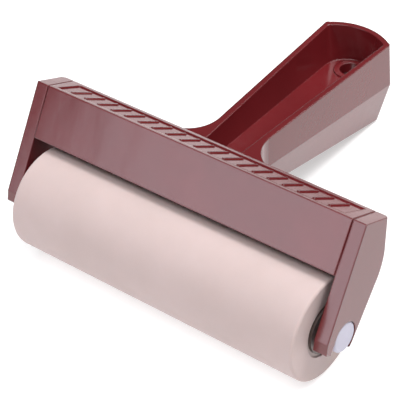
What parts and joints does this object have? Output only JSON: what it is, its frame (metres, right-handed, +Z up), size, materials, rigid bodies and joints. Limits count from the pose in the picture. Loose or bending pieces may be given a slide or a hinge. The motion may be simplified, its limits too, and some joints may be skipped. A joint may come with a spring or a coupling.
{
  "type": "rubber brayer",
  "caption": "Hand brayer with a rubber-covered roller that turns on a steel rod and lifts out of the notched arms of a moulded frame with a channel-shaped handle.",
  "frame": {"origin": "centre of the bounding box on the table, under the middle of the tool, with the tool lying on its roller and on the lower edge of the handle's end", "axes": "+X along the roller towards the user's left when the handle points at the user, +Y from the roller to the handle's end, +Z up"},
  "size_m": [0.1166, 0.113, 0.0462],
  "materials": {
    "moulded_plastic": "glossy maroon red, injection moulded",
    "rubber": "matt pinkish beige",
    "core_plastic": "matt grey",
    "nylon": "satin natural white",
    "steel": "drawn, bright"
  },
  "bodies": {
    "frame": {"frame_moulding": "moulded_plastic"},
    "axle": {"axle_rod": "steel", "axle_cap_left": "nylon", "axle_cap_right": "nylon"},
    "roller": {"rubber_sleeve": "rubber", "core_tube": "core_plastic", "end_plug_left": "nylon", "end_plug_right": "nylon"}
  },
  "joints": [
    {"name": "roller_lift_out", "type": "slide", "parent": "frame", "child": "axle", "axis": [0, -0.663, -0.7486], "range_m": [0, 0.012]},
    {"name": "roller_spin", "type": "hinge", "parent": "axle", "child": "roller", "pos_m": [0, -0.04059, 0.01588], "axis": [1, 0, 0], "continuous": true}
  ]
}
